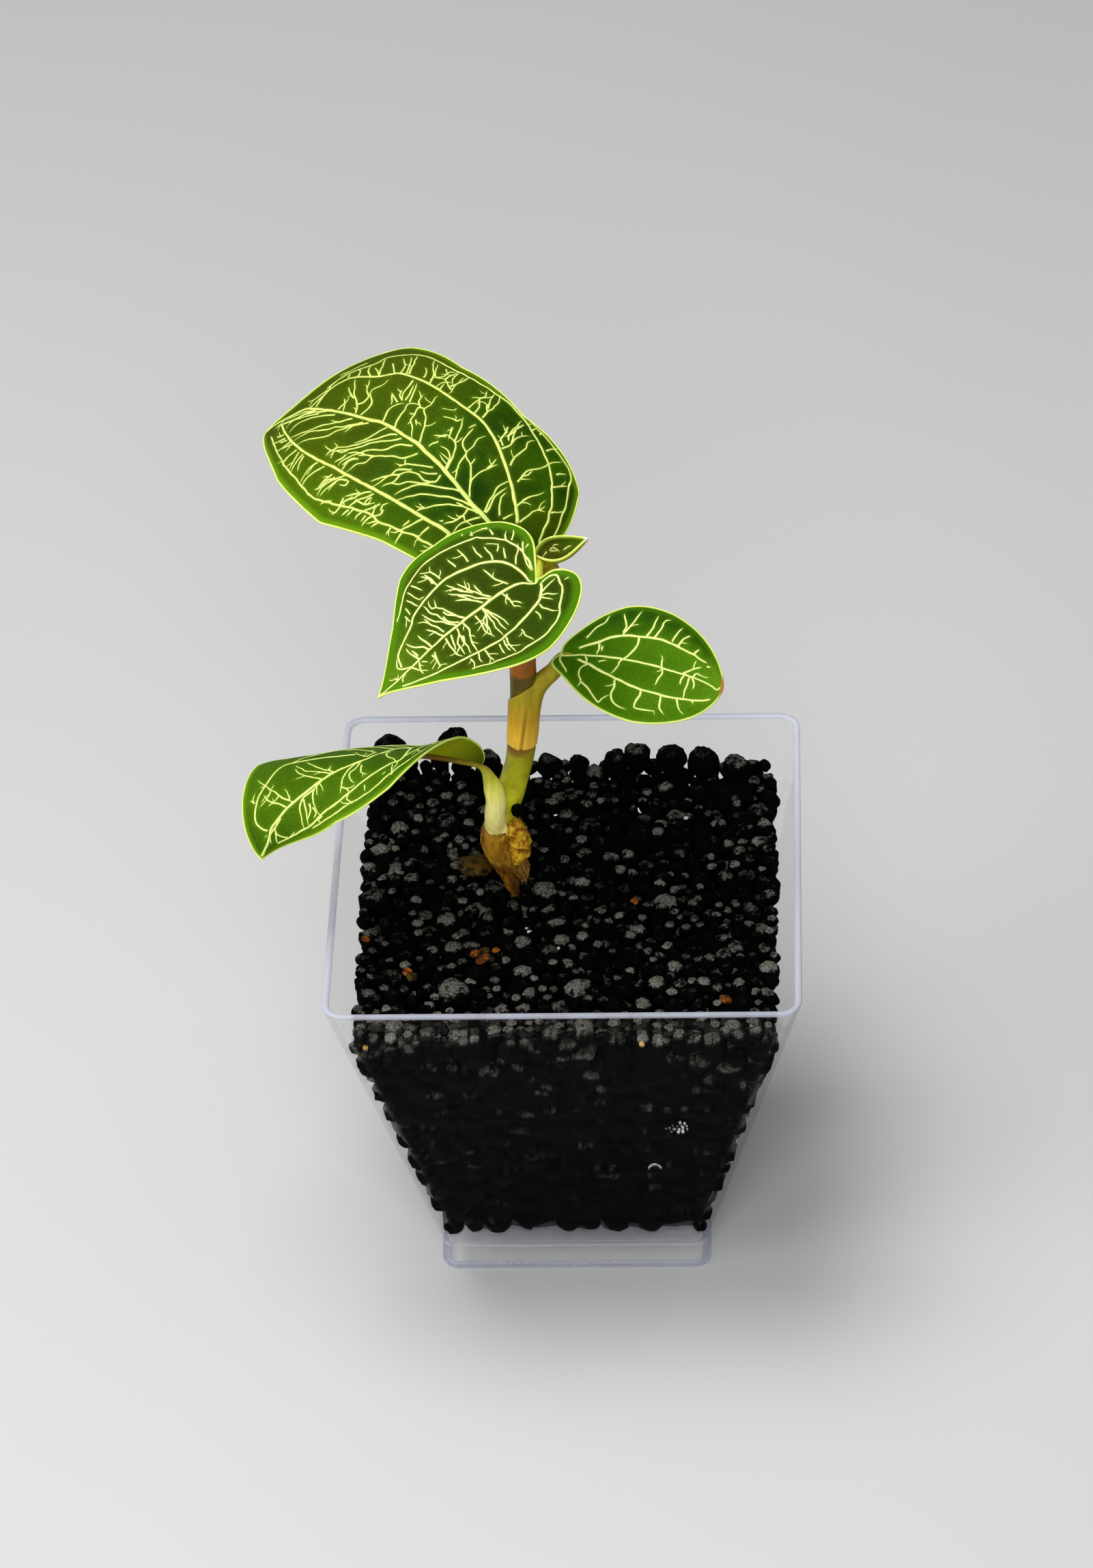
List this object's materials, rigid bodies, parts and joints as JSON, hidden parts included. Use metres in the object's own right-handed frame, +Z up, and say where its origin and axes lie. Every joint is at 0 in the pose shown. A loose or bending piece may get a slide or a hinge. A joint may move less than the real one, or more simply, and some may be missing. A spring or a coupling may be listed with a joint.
{
  "type": "potted jewel orchid",
  "caption": "Small jewel orchid with broad netted leaves on a short jointed stem, rooted in dark granules in a clear, tapered square pot with a hollow foot.",
  "frame": {"origin": "centre of the bounding box in plan, at the height of the foot's underside", "axes": "+Z up, -Y towards the viewer of the picture, +X to the viewer's right; the pot's sides lie along X and Y"},
  "size_m": [0.0698, 0.0708, 0.1094],
  "materials": {
    "clear_plastic": "clear, polished",
    "granules": "near-black, rough, charred",
    "stem_skin": "smooth skin, olive to reddish brown",
    "leaf_blade": "satin green with a pale net",
    "young_leaf": "satin yellow-green",
    "root_wool": "woolly, yellow-brown"
  },
  "bodies": {
    "root": {"pot": "clear_plastic", "soil": "granules", "stem": "stem_skin", "leaf_top": "leaf_blade", "leaf_middle": "leaf_blade", "leaf_right": "leaf_blade", "leaf_left": "leaf_blade", "leaf_new": "young_leaf", "root_aerial": "root_wool", "root_front": "root_wool", "root_right": "root_wool", "root_back": "root_wool"}
  },
  "joints": []
}
